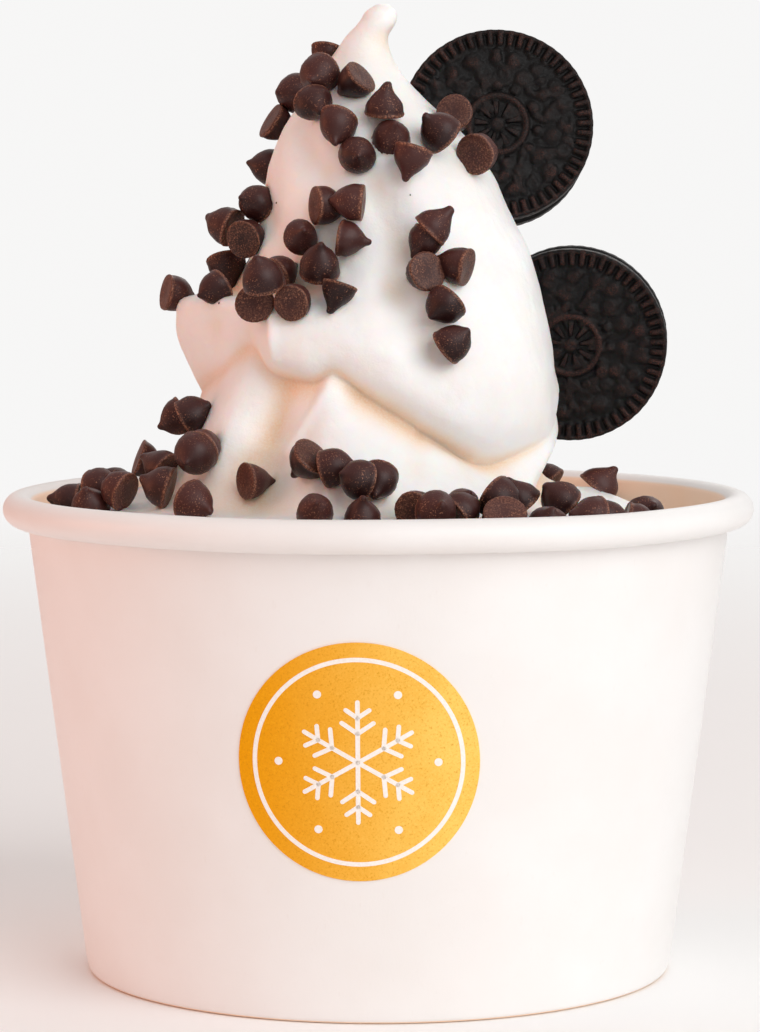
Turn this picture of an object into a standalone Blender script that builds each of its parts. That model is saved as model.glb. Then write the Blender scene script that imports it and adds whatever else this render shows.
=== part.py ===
"""Frozen yogurt cup: a rolled-rim paper tub with a round label, filled with a soft-serve swirl,
two small sandwich cookies pushed into its back and small chocolate chips stuck all over it.

Metres, +Z up. The origin is the centre of the cup's base, -Y is the labelled front and +X is the
side of the cookies. An azimuth is in degrees from the front, positive towards +X.
"""

import math
import random

import bmesh
import bpy
import numpy as np
from mathutils import Matrix, Vector
from mathutils.bvhtree import BVHTree

MM = 0.001
GAP = 0.3 * MM  # clearance between neighbouring pieces

# Paper tub
RIM_DIAMETER = 97.0 * MM
CUP_HEIGHT = 62.0 * MM
BASE_DIAMETER = 75.8 * MM
ROLL_RADIUS = 2.05 * MM  # of the rolled rim
WALL_TOP_RADIUS = 45.25 * MM  # outside of the wall where it meets the roll
PAPER = 0.5 * MM
FOLD = 1.6 * MM  # wall folded inwards round the base's flange
FOLD_CORNER = 0.9 * MM
SKIRT_HEIGHT = 5.5 * MM
BASE_LEVEL = 4.6 * MM  # underside of the base disc
CUP_SEGMENTS = 48

# Round label on the front
LABEL_DIAMETER = 29.4 * MM
LABEL_HEIGHT = 32.6 * MM  # of its centre
LABEL_AZIMUTH = -3.3
LABEL_THICKNESS = 0.15 * MM

# Small sandwich cookies
COOKIE_RADIUS = 12.6 * MM
WAFER_THICKNESS = 2.5 * MM
FILLING_THICKNESS = 2.0 * MM
FILLING_RADIUS = 11.5 * MM
COOKIE_BORDER = 2.3 * MM  # width of the raised rim of each wafer
COOKIE_RELIEF = 0.35 * MM
COOKIE_BOSS = 4.2 * MM  # radius of the raised middle
COOKIE_SEGMENTS = 28
COOKIES = (  # name, centre, degrees leaning back, degrees turned to the left
    ("upper_cookie", Vector((15.3, 9.0, 108.7)) * MM, 11.0, -3.0),
    ("lower_cookie", Vector((25.4, 9.0, 80.8)) * MM, -4.0, 5.0),
)

# Soft-serve swirl
YOGURT_SEGMENTS = 48

# The swirl is lofted over loops that run once round it, from the cup's wall up to the tip.
# A loop is a list of (azimuth, radius, height) stations in degrees and millimetres.
POOL_EDGE = ((-90, 43.8, 56.8), (0, 43.8, 57.4), (90, 43.8, 55.6), (180, 43.8, 56.4))
POOL = (
    (-90, 36.5, 60.3),
    (-50, 38.5, 59.8),
    (-10, 40.0, 60.2),
    (20, 39.5, 59.6),
    (50, 34.0, 60.2),
    (85, 31.0, 61.0),
    (115, 32.0, 60.8),
    (180, 37.0, 59.8),
    (235, 37.0, 59.5),
)
FOOT = (
    (-90, 29.0, 63.3),
    (-60, 31.0, 62.6),
    (-42, 32.2, 61.9),
    (-30, 31.2, 61.6),
    (-10, 35.0, 62.3),
    (15, 33.6, 61.4),
    (40, 28.6, 61.4),
    (62, 22.6, 63.0),
    (85, 20.6, 65.2),
    (110, 22.2, 64.2),
    (180, 28.0, 62.3),
)
LOWER_COIL = (
    (-90, 24.6, 69.0),
    (-62, 26.0, 70.0),
    (-44, 27.0, 72.0),
    (-31, 25.0, 69.0),
    (-13, 29.0, 69.0),
    (12, 29.0, 65.5),
    (40, 25.6, 63.4),
    (60, 23.6, 66.0),
    (85, 23.2, 69.6),
    (110, 23.6, 69.5),
    (150, 25.0, 67.5),
    (210, 26.0, 67.0),
)
FOLD_LINE = (
    (-90, 22.8, 74.8),
    (-64, 22.2, 77.4),
    (-46, 22.6, 80.6),
    (-34, 22.4, 77.4),
    (-21, 22.2, 76.8),
    (-14, 22.8, 77.8),
    (-4, 22.6, 75.2),
    (8, 22.2, 72.4),
    (20, 21.0, 69.6),
    (40, 20.4, 66.3),
    (56, 21.6, 67.6),
    (77, 22.8, 69.9),
    (92, 22.8, 72.8),
    (135, 22.0, 74.0),
    (210, 22.0, 74.5),
)
LIP = (  # the upper coil's lower edge
    (-90, 24.4, 78.2),
    (-64, 22.6, 79.6),
    (-46, 23.0, 82.0),
    (-36, 24.0, 80.0),
    (-30, 24.7, 79.2),
    (-22, 24.3, 78.4),
    (-14, 24.0, 79.2),
    (-4, 24.2, 77.6),
    (8, 24.6, 75.0),
    (20, 24.8, 72.2),
    (40, 23.8, 69.0),
    (56, 23.3, 69.8),
    (77, 23.2, 71.8),
    (92, 23.4, 75.0),
    (135, 23.4, 76.4),
    (210, 23.6, 77.0),
)
UPPER_COIL = (
    (-90, 26.1, 83.0),
    (-62, 22.9, 84.0),
    (-46, 23.4, 84.5),
    (-31, 25.7, 83.0),
    (-25, 25.2, 82.4),
    (-12, 24.4, 82.0),
    (10, 25.0, 78.5),
    (30, 25.2, 75.5),
    (55, 24.3, 74.5),
    (85, 22.9, 76.5),
    (135, 24.0, 80.5),
    (210, 24.6, 82.5),
)
SHOULDER = (
    (-90, 25.8, 86.0),
    (-62, 23.4, 86.2),
    (-44, 23.2, 86.1),
    (-31, 24.4, 85.9),
    (-22, 23.7, 85.6),
    (0, 22.9, 85.0),
    (40, 22.6, 84.0),
    (90, 22.1, 82.5),
    (150, 22.6, 86.0),
    (220, 23.4, 87.5),
)
LEDGE = (
    (-90, 18.2, 88.4),
    (-60, 18.0, 88.0),
    (-32, 19.0, 88.0),
    (0, 20.6, 89.0),
    (40, 21.0, 88.6),
    (90, 20.8, 88.0),
    (150, 20.2, 90.5),
    (220, 18.6, 91.5),
)
LOOPS = (POOL_EDGE, POOL, FOOT, LOWER_COIL, FOLD_LINE, LIP, UPPER_COIL, SHOULDER, LEDGE)
LOOP_ROWS = (1, 3, 3, 3, 1, 2, 2, 2, 1)  # rows of faces from each loop to the next
CREASE = FOLD_LINE  # the loop along which the surface folds sharply
CONE = (  # radius, height, lean towards +X
    (17.7, 93.2, 1.6),
    (15.8, 98.6, 0.8),
    (14.5, 102.8, 0.2),
    (11.8, 107.9, -0.8),
    (8.3, 111.9, -1.8),
    (6.2, 114.5, -2.2),
    (4.1, 117.4, -2.1),
    (2.7, 120.4, -1.4),
    (2.35, 122.3, -0.1),
    (1.95, 123.5, 0.3),
    (1.0, 124.3, 0.5),
)
CONE_ROWS = 1
TIP_HEIGHT = 124.5
STROKES = (  # soft dents: azimuth and height of both ends, half width, depth
    (-3, 101.0, 6, 88.5, 2.6, 0.8),
    (6, 88.5, 14, 81.0, 2.8, 0.7),
    (10, 67.0, 25, 65.4, 1.8, 0.6),
    (15, 101.0, 22, 89.0, 3.0, -0.7),
    (22, 89.0, 30, 81.0, 3.2, -0.6),
    (-46, 107.0, -30, 103.0, 2.4, 0.8),
    (-70, 98.0, -52, 94.0, 2.2, 0.6),
    (150, 104.0, 210, 96.0, 3.0, 0.9),
)

# Chocolate chips
CHIP_RADIUS = 2.6 * MM
CHIP_HEIGHT = 4.3 * MM
CHIP_SEGMENTS = 9
CHIP_OUTLINE = ((1.0, 0.0), (0.92, 0.36), (0.42, 0.72))  # shares of radius, height
CHIP_SIZES = (0.88, 1.03)
CHIP_SEED = 12
# A chip's stations are where it is aimed and which way its tip points: the tip's azimuth, and its
# degrees above level. They are set down in this order, so a later chip may rest on an earlier one.
CHIPS_ON_THE_SWIRL = (  # set from the side: azimuth, height, tip
    (-48, 115.4, -30, -20),
    (-114, 117.8, -30, -70),
    (-22, 114.4, -120, -35),
    (-114, 113.7, -60, 0),
    (-38, 111.6, 20, -20),
    (-21.5, 108.6, -20, -50),
    (-112, 109.2, 110, -30),
    (-115, 104.0, -95, 10),
    (7.5, 108.2, 8, 35),
    (13, 104.4, -60, -72),
    (4, 112.4, 10, 75),
    (-9, 105.2, 10, 0),
    (30, 108.9, -60, 40),
    (67, 110.7, 175, -15),
    (57, 105.8, 150, 10),
    (-22, 98.9, 110, 0),
    (-11.5, 99.4, -95, 5),
    (-9.5, 94.7, 80, -10),
    (-30, 95.4, 10, 20),
    (-92, 90.6, 20, -65),
    (-38, 90.8, 130, 20),
    (-96, 87.8, 110, -10),
    (-64, 88.6, -60, -30),
    (-20.5, 92.3, 0, 60),
    (-74, 99.4, -50, 20),
    (-73, 95.0, 150, 15),
    (-84, 96.6, -120, 20),
    (14.5, 94.1, -80, -52),
    (20.5, 97.1, 85, 44),
    (13, 90.6, -150, -12),
    (24.5, 92.0, -110, 15),
    (17.5, 86.1, -60, -40),
    (21, 82.4, 70, 35),
    (-17, 67.6, -130, -40),
    (-8.5, 67.8, 75, 15),
    (0, 65.7, -10, -35),
    (-30, 65.5, 120, 0),
    (-60, 73.2, 80, 30),
    (-80, 71.6, -80, -30),
    (-47, 69.4, 150, 20),
    (-45, 68.2, -30, -20),
    (-65, 66.8, -120, 30),
)
CHIPS_ON_THE_LEVEL = (  # set from above, in the cup: azimuth, distance, tip
    (-36.5, 36.6, 50, -15),
    (-11, 40.0, 0, 30),
    (7.5, 38.0, 160, 10),
    (32.5, 32.0, -70, 50),
)
CHIPS_ON_OTHERS = (  # set from the side again
    (-24.5, 87.6, 160, 10),
    (-12.5, 87.9, -60, -70),
    (-38, 87.0, 175, 0),
    (-30, 91.0, -20, 65),
)


def clear_scene():
    for obj in list(bpy.data.objects):
        bpy.data.objects.remove(obj, do_unlink=True)


def material(name, colour, roughness, metallic=0.0):
    """A Principled BSDF finish of one colour."""
    made = bpy.data.materials.new(name)
    made.use_nodes = True
    shader = made.node_tree.nodes["Principled BSDF"]
    shader.inputs["Base Color"].default_value = (*colour, 1.0)
    shader.inputs["Roughness"].default_value = roughness
    shader.inputs["Metallic"].default_value = metallic
    return made


def add_object(name, mesh, finish, crease_degrees=40):
    """A named object for a mesh, shaded smooth up to its sharp edges."""
    mesh.name = name
    mesh.materials.clear()
    mesh.materials.append(finish)
    mesh.shade_smooth()
    mesh.set_sharp_from_angle(angle=math.radians(crease_degrees))
    obj = bpy.data.objects.new(name, mesh)
    bpy.context.collection.objects.link(obj)
    return obj


def mesh_from(bm, merge=1e-6):
    """A mesh from a bmesh, with doubles merged and faces pointing out."""
    bmesh.ops.remove_doubles(bm, verts=bm.verts, dist=merge)
    bmesh.ops.recalc_face_normals(bm, faces=bm.faces)
    mesh = bpy.data.meshes.new("shape")
    bm.to_mesh(mesh)
    bm.free()
    return mesh


def arc(centre_r, centre_z, radius, start, end, steps):
    """Points of a circular arc in the half plane of a turned outline, from start to end degrees."""
    angles = [math.radians(start + (end - start) * i / steps) for i in range(steps + 1)]
    return [(centre_r + radius * math.cos(a), centre_z + radius * math.sin(a)) for a in angles]


def turned(outline, segments, closed):
    """The outline of (radius, height) points spun once round Z. A closed outline is a ring's section."""
    bm = bmesh.new()
    verts = [bm.verts.new((r, 0.0, z)) for r, z in outline]
    pairs = list(zip(verts, verts[1:]))
    if closed:
        pairs.append((verts[-1], verts[0]))
    edges = [bm.edges.new(pair) for pair in pairs]
    bmesh.ops.spin(
        bm,
        geom=verts + edges,
        cent=(0, 0, 0),
        axis=(0, 0, 1),
        angle=2 * math.pi,
        steps=segments,
        use_merge=True,
    )
    return mesh_from(bm)


def outward(azimuth):
    turn = math.radians(azimuth)
    return Vector((math.sin(turn), -math.cos(turn), 0.0))


def wall_radius(z):
    """Outside radius of the tub's straight wall at a height."""
    share = z / (CUP_HEIGHT - 2 * ROLL_RADIUS)
    return BASE_DIAMETER / 2 + (WALL_TOP_RADIUS - BASE_DIAMETER / 2) * share


def cup_wall_mesh():
    """The wall with its folded foot and rolled rim."""
    foot = BASE_DIAMETER / 2
    roll_r = RIM_DIAMETER / 2 - ROLL_RADIUS
    roll_z = CUP_HEIGHT - ROLL_RADIUS
    outline = [
        (wall_radius(SKIRT_HEIGHT) - PAPER, SKIRT_HEIGHT + PAPER),
        (wall_radius(SKIRT_HEIGHT) - FOLD, SKIRT_HEIGHT),
        (foot - FOLD, 0.0),
    ]
    outline += arc(foot - FOLD_CORNER, FOLD_CORNER, FOLD_CORNER, -90, -7, 3)
    outline += arc(roll_r, roll_z, ROLL_RADIUS, -126, 140, 8)
    return turned(outline, CUP_SEGMENTS, closed=True)


def cup_base_mesh():
    """The base disc, raised above the table, with its edge turned down inside the wall's fold."""
    top = BASE_LEVEL + PAPER
    flange_end = 1.2 * MM

    def reach(z):
        return wall_radius(z) - FOLD - GAP

    outline = [
        (0.0, top),
        (reach(top), top),
        (reach(flange_end), flange_end),
        (reach(flange_end) - PAPER, flange_end),
        (reach(BASE_LEVEL) - PAPER, BASE_LEVEL),
        (0.0, BASE_LEVEL),
    ]
    return turned(outline, CUP_SEGMENTS, closed=False)


def label_mesh(rings=3, segments=28):
    """A disc of paper bent round the tub's wall."""
    bm = bmesh.new()
    spread = []
    for ring in range(1, rings + 1):
        radius = LABEL_DIAMETER / 2 * ring / rings
        made = bmesh.ops.create_circle(bm, segments=segments, radius=radius)
        spread.append(made["verts"])
    centre = bm.verts.new((0, 0, 0))
    for inner, outer in zip(spread, spread[1:]):
        for i in range(segments):
            j = (i + 1) % segments
            bm.faces.new((inner[i], inner[j], outer[j], outer[i]))
    for i in range(segments):
        bm.faces.new((centre, spread[0][(i + 1) % segments], spread[0][i]))
    bmesh.ops.recalc_face_normals(bm, faces=bm.faces)
    bmesh.ops.solidify(bm, geom=bm.faces[:], thickness=LABEL_THICKNESS)
    depths = sorted({round(v.co.z, 7) for v in bm.verts})
    slope = math.atan2(wall_radius(CUP_HEIGHT) - wall_radius(0.0), CUP_HEIGHT)
    for vert in bm.verts:
        out = GAP + vert.co.z - depths[0]
        z = LABEL_HEIGHT + vert.co.y * math.cos(slope)
        turn = math.radians(LABEL_AZIMUTH) + vert.co.x / wall_radius(z)
        radius = wall_radius(z) + out
        vert.co = (radius * math.sin(turn), -radius * math.cos(turn), z)
    return mesh_from(bm)


def round_table(stations, azimuths):
    """Radius and height of a loop of stations at some azimuths, eased from station to station.

    The easing is a monotone cubic, so the loop never swings past its stations."""
    table = sorted((azimuth % 360, radius, height) for azimuth, radius, height in stations)
    table = np.array([(a + turn, r, z) for turn in (-360, 0, 360) for a, r, z in table])
    x, rows = table[:, 0], table[:, 1:]
    slopes = np.diff(rows, axis=0) / np.diff(x)[:, None]
    before, after = slopes[:-1], slopes[1:]
    same_way = before * after > 0
    harmonic = 2 * before * after / np.where(same_way, before + after, 1.0)
    tangents = np.vstack([slopes[:1], np.where(same_way, harmonic, 0.0), slopes[-1:]])
    i = np.searchsorted(x, azimuths, side="right") - 1
    width = (x[i + 1] - x[i])[:, None]
    t = (azimuths - x[i])[:, None] / width
    return hermite(rows[i], rows[i + 1], tangents[i] * width, tangents[i + 1] * width, t)


def hermite(start, end, start_tangent, end_tangent, t):
    """Cubic between two points with given end tangents, at a share t of the way."""
    return (
        (1 + 2 * t) * (1 - t) ** 2 * start
        + t * (1 - t) ** 2 * start_tangent
        + t**2 * (3 - 2 * t) * end
        + t**2 * (t - 1) * end_tangent
    )


def yogurt_loops(azimuths):
    """The guide loops as an array (loop, azimuth, radius and height and lean)."""
    loops = []
    for stations in LOOPS:
        curve = round_table(stations, azimuths)
        loops.append(np.column_stack([curve, np.zeros(len(azimuths))]))
    for circle in CONE:
        loops.append(np.tile(circle, (len(azimuths), 1)))
    return np.array(loops, float)


def loft(loops, rows, crease):
    """Rows between the loops along smooth meridians, which bend sharply at one loop only."""
    span = np.linalg.norm(np.diff(loops, axis=0), axis=2)[..., None]
    slope = np.diff(loops, axis=0) / span
    tangent_in = np.concatenate([slope[:1], slope])
    tangent_out = np.concatenate([slope, slope[-1:]])
    for i in range(1, len(loops) - 1):
        if i != crease:
            both = (slope[i - 1] * span[i] + slope[i] * span[i - 1]) / (span[i] + span[i - 1])
            tangent_in[i] = tangent_out[i] = both
    surface = []
    for i, count in enumerate(rows):
        for step in range(count):
            ends = (tangent_out[i] * span[i], tangent_in[i + 1] * span[i])
            surface.append(hermite(loops[i], loops[i + 1], *ends, step / count))
    return np.array(surface + [loops[-1]])


def stroke_depth(azimuths, radius, height):
    """How far the strokes press the surface in, in millimetres."""
    depth = np.zeros(height.shape)
    for azimuth_1, height_1, azimuth_2, height_2, width, pressed in STROKES:
        middle = (azimuth_1 + azimuth_2) / 2
        x = np.radians((azimuths - middle + 180) % 360 - 180) * radius
        half = np.radians((azimuth_2 - azimuth_1) / 2) * radius
        y = height - (height_1 + height_2) / 2
        rise = (height_2 - height_1) / 2
        along = np.clip((x * half + y * rise) / (half**2 + rise**2), -1, 1)
        away = (x - along * half) ** 2 + (y - along * rise) ** 2
        depth += pressed * np.exp(-away / width**2)
    return depth


def yogurt_surface(segments):
    """Surface points of the yogurt from the wall to the tip, (row, segment, xyz), in metres."""
    azimuths = np.arange(segments) * 360.0 / segments
    rows = LOOP_ROWS + (CONE_ROWS,) * (len(CONE) - 1)
    surface = loft(yogurt_loops(azimuths), rows, LOOPS.index(CREASE))
    radius, height, lean = np.moveaxis(surface, 2, 0)
    radius = radius - stroke_depth(azimuths, radius, height)
    turn = np.radians(azimuths)
    return np.stack([lean + radius * np.sin(turn), -radius * np.cos(turn), height], axis=2) * MM


def yogurt_mesh():
    """The yogurt, solid down to the cup's base."""
    floor = BASE_LEVEL + PAPER + GAP
    skirt_top = SKIRT_HEIGHT + PAPER + GAP
    narrow = wall_radius(floor) - FOLD - 2 * GAP
    wide = wall_radius(skirt_top) - PAPER - 2 * GAP
    bm = bmesh.new()
    rings = []
    for radius, z in ((narrow, floor), (wide, skirt_top)):
        made = bmesh.ops.create_circle(bm, segments=YOGURT_SEGMENTS, radius=radius)["verts"]
        for i, vert in enumerate(made):
            vert.co = outward(360 * i / YOGURT_SEGMENTS) * radius + Vector((0, 0, z))
        rings.append(made)
    for row in yogurt_surface(YOGURT_SEGMENTS):
        rings.append([bm.verts.new(point) for point in row])
    for lower, upper in zip(rings, rings[1:]):
        for i in range(YOGURT_SEGMENTS):
            j = (i + 1) % YOGURT_SEGMENTS
            bm.faces.new((lower[i], lower[j], upper[j], upper[i]))
    bm.faces.new(rings[0])
    lean = CONE[-1][2]
    tip = bm.verts.new((lean * MM, 0, TIP_HEIGHT * MM))
    for i in range(YOGURT_SEGMENTS):
        bm.faces.new((rings[-1][i], rings[-1][(i + 1) % YOGURT_SEGMENTS], tip))
    return mesh_from(bm)


def wafer_mesh():
    """One wafer, embossed side up: a raised border, a recessed field and a raised boss."""
    top = WAFER_THICKNESS
    low = top - COOKIE_RELIEF
    edge = 0.5 * MM
    outline = [
        (0.0, 0.0),
        (COOKIE_RADIUS - edge, 0.0),
        (COOKIE_RADIUS, edge),
        (COOKIE_RADIUS, top - edge),
        (COOKIE_RADIUS - edge, top),
        (COOKIE_RADIUS - COOKIE_BORDER, top),
        (COOKIE_RADIUS - COOKIE_BORDER - COOKIE_RELIEF, low),
        (COOKIE_BOSS + COOKIE_RELIEF, low),
        (COOKIE_BOSS, top),
        (0.0, top),
    ]
    return turned(outline, COOKIE_SEGMENTS, closed=False)


def filling_mesh():
    """The disc of cream between two wafers, with a bulging edge."""
    bulge = 0.3 * MM
    outline = [
        (0.0, 0.0),
        (FILLING_RADIUS - bulge, 0.0),
        (FILLING_RADIUS, FILLING_THICKNESS / 2),
        (FILLING_RADIUS - bulge, FILLING_THICKNESS),
        (0.0, FILLING_THICKNESS),
    ]
    return turned(outline, COOKIE_SEGMENTS, closed=False)


def cookie_frame(centre, lean_back, turn_left):
    """Matrix of a cookie's own axes: its local +Z comes out of the face towards the front."""
    face_front = Matrix.Rotation(math.radians(90), 4, "X")
    lean = Matrix.Rotation(math.radians(-lean_back), 4, "X")
    turn = Matrix.Rotation(math.radians(-turn_left), 4, "Z")
    return Matrix.Translation(centre) @ turn @ lean @ face_front


def add_cookie(name, frame, finishes):
    """Two wafers with a disc of cream between them, all parented to an empty at the middle."""
    holder = bpy.data.objects.new(name, None)
    holder.matrix_world = frame
    bpy.context.collection.objects.link(holder)
    half = FILLING_THICKNESS / 2
    front = add_object(f"{name}_front_wafer", wafer_mesh(), finishes["wafer"])
    front.location = (0, 0, half + GAP)
    filling = add_object(f"{name}_filling", filling_mesh(), finishes["filling"])
    filling.location = (0, 0, -half)
    back = add_object(f"{name}_back_wafer", wafer_mesh(), finishes["wafer"])
    back.location = (0, 0, -half - GAP)
    back.rotation_euler = (math.pi, 0, 0)
    for piece in (front, filling, back):
        piece.parent = holder
    return [front, filling, back]


def cut_pocket(yogurt, name, frame):
    """Cuts the pocket that a cookie is pushed into, with clearance all round."""
    depth = FILLING_THICKNESS + 2 * (WAFER_THICKNESS + 2 * GAP)
    bm = bmesh.new()
    bmesh.ops.create_cone(
        bm,
        cap_ends=True,
        segments=COOKIE_SEGMENTS,
        radius1=COOKIE_RADIUS + 2 * GAP,
        radius2=COOKIE_RADIUS + 2 * GAP,
        depth=depth,
    )
    cutter = bpy.data.objects.new(f"{name}_pocket", mesh_from(bm))
    cutter.matrix_world = frame
    cutter.hide_render = True
    cutter.display_type = "WIRE"
    bpy.context.collection.objects.link(cutter)
    cut = yogurt.modifiers.new(f"{name} pocket", "BOOLEAN")
    cut.operation = "DIFFERENCE"
    cut.object = cutter


def chip_mesh(grow=0.0):
    """A chip standing on its base about its middle; grow pushes every side out, for clearance."""
    middle = CHIP_HEIGHT * 0.4
    outline = [(0.0, -middle - grow)]
    for share_r, share_z in CHIP_OUTLINE:
        z = CHIP_HEIGHT * share_z - middle
        outline.append((CHIP_RADIUS * share_r + grow, z - (grow if share_z == 0 else 0.0)))
    outline.append((0.0, CHIP_HEIGHT - middle + grow))
    mesh = turned(outline, CHIP_SEGMENTS, closed=False)
    bm = bmesh.new()
    bm.from_mesh(mesh)
    bmesh.ops.dissolve_limit(bm, angle_limit=math.radians(1), verts=bm.verts, edges=bm.edges)
    bm.to_mesh(mesh)
    bm.free()
    return mesh


def world_tree(obj):
    """Search tree of an object's evaluated mesh in world space."""
    graph = bpy.context.evaluated_depsgraph_get()
    evaluated = obj.evaluated_get(graph)
    bm = bmesh.new()
    bm.from_mesh(evaluated.to_mesh())
    bm.transform(evaluated.matrix_world)
    tree = BVHTree.FromBMesh(bm)
    bm.free()
    evaluated.to_mesh_clear()
    return tree


def moved_tree(mesh, matrix):
    bm = bmesh.new()
    bm.from_mesh(mesh)
    bm.transform(matrix)
    tree = BVHTree.FromBMesh(bm)
    bm.free()
    return tree


def chip_turn(rng, azimuth, rise):
    """Turns a chip so that its tip points towards an azimuth and so many degrees above level."""
    level, up = math.cos(math.radians(rise)), math.sin(math.radians(rise))
    tip = outward(azimuth) * level + Vector((0, 0, up))
    spin = Matrix.Rotation(rng.uniform(0, 2 * math.pi), 4, "Z")
    return tip.to_track_quat("Z", "Y").to_matrix().to_4x4() @ spin


def settle(grown, obstacles, surface_point, direction, turn, size):
    """Moves a chip the way it is aimed until its grown shape is about to meet an obstacle."""

    def at(distance):
        return Matrix.Translation(surface_point - direction * distance) @ turn @ Matrix.Scale(size, 4)

    def blocked(distance):
        tree = moved_tree(grown, at(distance))
        return any(tree.overlap(other) for other in obstacles)

    free = 16 * MM
    step = 0.4 * MM
    while free > 0 and not blocked(free - step):
        free -= step
    stuck = free - step
    for _ in range(5):
        middle = (free + stuck) / 2
        if blocked(middle):
            stuck = middle
        else:
            free = middle
    return at(free)


def chip_rays():
    """Where each chip is aimed from, which way, and how its tip points."""
    for azimuth, height, *tip in CHIPS_ON_THE_SWIRL:
        yield *from_the_side(azimuth, height), tip
    for azimuth, distance, *tip in CHIPS_ON_THE_LEVEL:
        yield outward(azimuth) * distance * MM + Vector((0, 0, 2 * CUP_HEIGHT)), Vector((0, 0, -1)), tip
    for azimuth, height, *tip in CHIPS_ON_OTHERS:
        yield *from_the_side(azimuth, height), tip


def from_the_side(azimuth, height):
    """A level ray to the axis, from beyond the rim."""
    out = outward(azimuth)
    return out * RIM_DIAMETER + Vector((0, 0, height * MM)), -out


def add_chips(yogurt_tree, obstacles, finish):
    """Sets the chips down one after another, each against the yogurt and the chips before it."""
    rng = random.Random(CHIP_SEED)
    plain, grown = chip_mesh(), chip_mesh(GAP)
    for number, (start, direction, tip) in enumerate(chip_rays(), 1):
        point = yogurt_tree.ray_cast(start, direction)[0]
        turn = chip_turn(rng, *tip)
        size = rng.uniform(*CHIP_SIZES)
        matrix = settle(grown, obstacles, point, direction, turn, size)
        chip = add_object(f"chip_{number:02d}", plain.copy(), finish, crease_degrees=50)
        chip.data.transform(matrix.to_3x3().to_4x4())
        chip.location = matrix.translation
        obstacles.append(moved_tree(plain, matrix))


def main():
    clear_scene()
    paper = material("cup paper", (0.90, 0.87, 0.85), 0.45)
    label = material("label paper", (0.95, 0.60, 0.13), 0.4)
    yogurt_white = material("frozen yogurt", (0.93, 0.90, 0.87), 0.35)
    chocolate = material("dark chocolate", (0.075, 0.034, 0.026), 0.38)
    finishes = {
        "wafer": material("cocoa wafer", (0.030, 0.018, 0.014), 0.6),
        "filling": material("vanilla filling", (0.90, 0.86, 0.78), 0.5),
    }

    wall = add_object("cup_wall", cup_wall_mesh(), paper)
    add_object("cup_base", cup_base_mesh(), paper)
    add_object("label", label_mesh(), label)
    yogurt = add_object("yogurt", yogurt_mesh(), yogurt_white, crease_degrees=60)
    cookie_pieces = []
    for name, centre, lean_back, turn_left in COOKIES:
        frame = cookie_frame(centre, lean_back, turn_left)
        cut_pocket(yogurt, name, frame)
        cookie_pieces += add_cookie(name, frame, finishes)
    bpy.context.view_layer.update()
    yogurt_tree = world_tree(yogurt)
    obstacles = [yogurt_tree] + [world_tree(obj) for obj in (wall, *cookie_pieces)]
    add_chips(yogurt_tree, obstacles, chocolate)


main()
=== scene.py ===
import math
import random

import bmesh
import bpy
import numpy as np
from mathutils import Matrix, Vector, noise
from mathutils.bvhtree import BVHTree


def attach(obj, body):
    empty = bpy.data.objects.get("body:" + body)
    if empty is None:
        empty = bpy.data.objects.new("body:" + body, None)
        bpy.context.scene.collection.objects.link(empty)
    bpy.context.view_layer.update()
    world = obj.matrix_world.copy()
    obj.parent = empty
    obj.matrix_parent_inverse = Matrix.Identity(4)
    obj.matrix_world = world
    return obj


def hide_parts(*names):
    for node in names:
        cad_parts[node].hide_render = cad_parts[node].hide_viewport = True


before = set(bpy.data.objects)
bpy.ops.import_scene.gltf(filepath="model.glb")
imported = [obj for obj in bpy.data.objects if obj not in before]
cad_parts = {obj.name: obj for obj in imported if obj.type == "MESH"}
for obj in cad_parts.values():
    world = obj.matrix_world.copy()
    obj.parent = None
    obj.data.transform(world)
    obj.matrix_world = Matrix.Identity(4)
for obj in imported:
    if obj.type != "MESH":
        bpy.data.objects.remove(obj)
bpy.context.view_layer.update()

mm = 0.001
weld = 1e-7  # points closer than this are one
body = "root"


def outward(azimuth):  # azimuth 0 faces the front and grows towards +X
    turn = math.radians(azimuth)
    return Vector((math.sin(turn), -math.cos(turn), 0))


def flat(point):  # its part away from the axis
    return Vector((point.x, point.y, 0))


def addPiece(name, bm, material, smoothAngle=180):
    mesh = bpy.data.meshes.new(name)
    bm.to_mesh(mesh)
    bm.free()
    mesh.materials.append(material)
    mesh.shade_smooth()
    if smoothAngle < 180:
        mesh.set_sharp_from_angle(angle=math.radians(smoothAngle))
    piece = bpy.data.objects.new(name, mesh)
    bpy.context.collection.objects.link(piece)
    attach(piece, body)
    return piece


def turnRound(bm, geom, segments):  # one full turn about Z
    bmesh.ops.spin(bm, geom=geom, cent=(0, 0, 0), axis=(0, 0, 1), angle=2 * math.pi, steps=segments,
                   use_merge=True)


def spinOutline(outline, segments, closed=False):  # outline is a list of (radius, height)
    bm = bmesh.new()
    verts = [bm.verts.new((r, 0, z)) for r, z in outline]
    edges = [bm.edges.new(pair) for pair in zip(verts, verts[1:])]
    if closed:
        edges.append(bm.edges.new((verts[-1], verts[0])))
    turnRound(bm, verts + edges, segments)
    bmesh.ops.remove_doubles(bm, verts=bm.verts, dist=weld)
    bmesh.ops.recalc_face_normals(bm, faces=bm.faces)
    return bm


def arcPoints(centreR, centreZ, radius, start, end, steps):
    angles = [math.radians(start + (end - start) * i / steps) for i in range(steps + 1)]
    return [(centreR + radius * math.cos(a), centreZ + radius * math.sin(a)) for a in angles]


def joinInto(bm, other, matrix=Matrix()):  # adds a whole bmesh to another and frees it
    other.transform(matrix)
    mesh = bpy.data.meshes.new("part")
    other.to_mesh(mesh)
    other.free()
    bm.from_mesh(mesh)
    bpy.data.meshes.remove(mesh)


def treeOf(piece):
    bm = bmesh.new()
    bm.from_mesh(piece.data)
    tree = BVHTree.FromBMesh(bm)
    bm.free()
    return tree


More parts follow.
